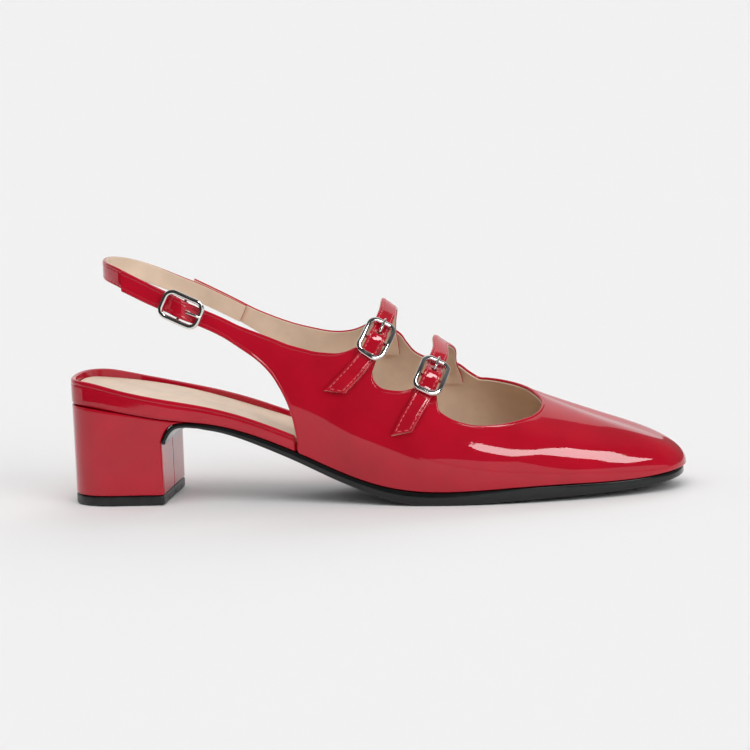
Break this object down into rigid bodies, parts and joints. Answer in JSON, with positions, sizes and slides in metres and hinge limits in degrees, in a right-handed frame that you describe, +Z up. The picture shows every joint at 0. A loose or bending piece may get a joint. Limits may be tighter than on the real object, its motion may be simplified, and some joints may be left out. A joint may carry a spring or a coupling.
{
  "type": "double-strap slingback pump",
  "caption": "Pointed-toe slingback pump with two buckled instep straps, an open waist, a covered block heel and a thin black sole.",
  "frame": {"origin": "centre of the bounding box on the ground plane, where heel tip and forefoot stand", "axes": "+X from the heel to the toe, +Y to the inner (medial) side, +Z up"},
  "size_m": [0.25, 0.0792, 0.0988],
  "materials": {
    "sole_black": "black, glossy trimmed edge",
    "heel_patent": "red patent covering, high gloss",
    "tip_black": "black, satin",
    "rand_patent": "red patent covering, high gloss",
    "sock_leather": "pale beige lining leather, satin",
    "upper_patent": "red patent, high gloss",
    "strap_patent": "red patent, high gloss",
    "chape_patent": "red patent, high gloss",
    "buckle_steel": "polished plated steel"
  },
  "bodies": {
    "root": {"outsole": "sole_black", "heel_block": "heel_patent", "heel_tip": "tip_black", "insole_board": "rand_patent", "insole_sock": "sock_leather", "upper": "upper_patent", "instep_strap_rear": "strap_patent", "instep_strap_front": "strap_patent", "sling_strap": "strap_patent", "buckle_frame_rear": "buckle_steel", "prong_rear": "buckle_steel", "chape_rear": "chape_patent", "buckle_frame_front": "buckle_steel", "prong_front": "buckle_steel", "chape_front": "chape_patent", "buckle_frame_sling": "buckle_steel", "prong_sling": "buckle_steel", "chape_sling": "chape_patent"}
  },
  "joints": []
}
